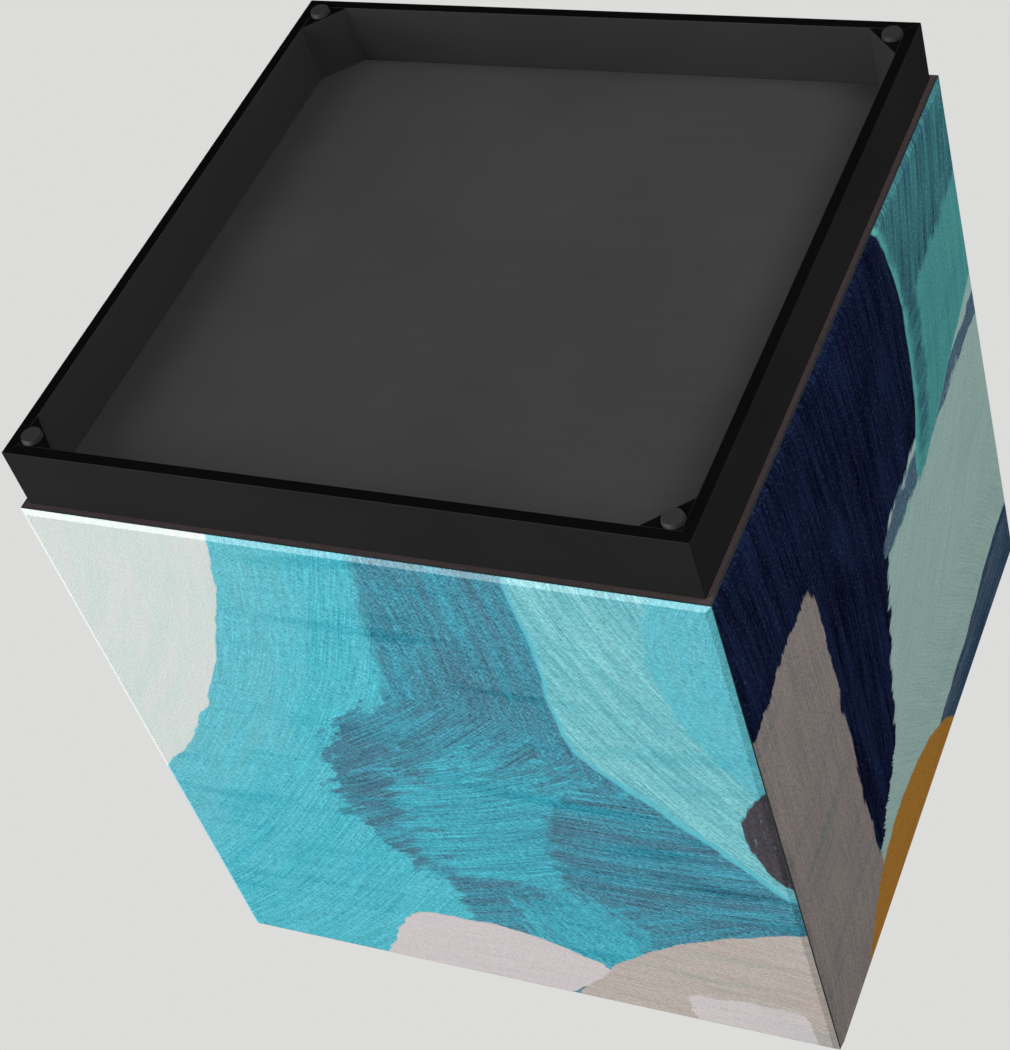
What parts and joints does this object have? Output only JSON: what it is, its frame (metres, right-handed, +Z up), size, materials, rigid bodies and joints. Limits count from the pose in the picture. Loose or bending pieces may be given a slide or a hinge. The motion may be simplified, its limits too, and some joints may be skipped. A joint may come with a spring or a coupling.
{
  "type": "cube side table",
  "caption": "Cube side table: bevelled glass panes with a printed brush-stroke pattern on a board carcass, over an inset black plinth with levelling glides.",
  "frame": {"origin": "centre of the table on the floor, with the undersides of the four glides at z = 0", "axes": "+Z up; -Y out of the front pane, the turquoise one; -X out of the left pane, the navy one"},
  "size_m": [0.4572, 0.4572, 0.5053],
  "materials": {
    "front_print": "glossy clear glass over a printed brush-stroke pattern in turquoise and off-white",
    "back_print": "glossy clear glass over a printed brush-stroke pattern in aqua, slate and beige",
    "left_print": "glossy clear glass over a printed brush-stroke pattern in navy, teal, taupe and sage",
    "right_print": "glossy clear glass over a printed brush-stroke pattern in teal, mint and navy",
    "top_print": "glossy clear glass over a printed brush-stroke pattern in pale aqua, turquoise and beige",
    "stained_board": "dull brown stain on the cut edge of fibreboard",
    "raw_fibreboard": "raw medium-density fibreboard",
    "grey_painted_board": "dull dark grey paint on fibreboard",
    "softwood": "planed softwood",
    "black_painted_rail": "satin black paint on wood",
    "black_painted_block": "dull black paint on wood",
    "glide_nylon": "moulded dark grey nylon",
    "zinc_plated_steel": "bright zinc plate",
    "insert_brass": "turned brass",
    "screw_steel": "yellow zinc plate"
  },
  "bodies": {
    "table": {"front_glass": "front_print", "back_glass": "back_print", "left_glass": "left_print", "right_glass": "right_print", "top_glass": "top_print", "front_board": "stained_board", "back_board": "stained_board", "left_board": "stained_board", "right_board": "stained_board", "top_board": "raw_fibreboard", "bottom_board": "grey_painted_board", "front_left_post": "softwood", "front_right_post": "softwood", "back_left_post": "softwood", "back_right_post": "softwood", "front_top_cleat": "softwood", "back_top_cleat": "softwood", "left_top_cleat": "softwood", "right_top_cleat": "softwood", "front_bottom_cleat": "softwood", "back_bottom_cleat": "softwood", "left_bottom_cleat": "softwood", "right_bottom_cleat": "softwood", "front_plinth_rail": "black_painted_rail", "back_plinth_rail": "black_painted_rail", "left_plinth_rail": "black_painted_rail", "right_plinth_rail": "black_painted_rail", "front_left_block": "black_painted_block", "front_right_block": "black_painted_block", "back_left_block": "black_painted_block", "back_right_block": "black_painted_block", "glide_inserts": "insert_brass", "post_screws": "screw_steel", "cleat_screws": "screw_steel", "top_board_screws": "screw_steel", "bottom_board_screws": "screw_steel", "plinth_screws": "screw_steel"},
    "front_left_glide": {"front_left_foot": "glide_nylon", "front_left_stud": "zinc_plated_steel"},
    "front_right_glide": {"front_right_foot": "glide_nylon", "front_right_stud": "zinc_plated_steel"},
    "back_left_glide": {"back_left_foot": "glide_nylon", "back_left_stud": "zinc_plated_steel"},
    "back_right_glide": {"back_right_foot": "glide_nylon", "back_right_stud": "zinc_plated_steel"}
  },
  "joints": [
    {"name": "front_left_levelling", "type": "slide", "parent": "table", "child": "front_left_glide", "axis": [0, 0, -1], "range_m": [0, 0.008]},
    {"name": "front_right_levelling", "type": "slide", "parent": "table", "child": "front_right_glide", "axis": [0, 0, -1], "range_m": [0, 0.008]},
    {"name": "back_left_levelling", "type": "slide", "parent": "table", "child": "back_left_glide", "axis": [0, 0, -1], "range_m": [0, 0.008]},
    {"name": "back_right_levelling", "type": "slide", "parent": "table", "child": "back_right_glide", "axis": [0, 0, -1], "range_m": [0, 0.008]}
  ]
}
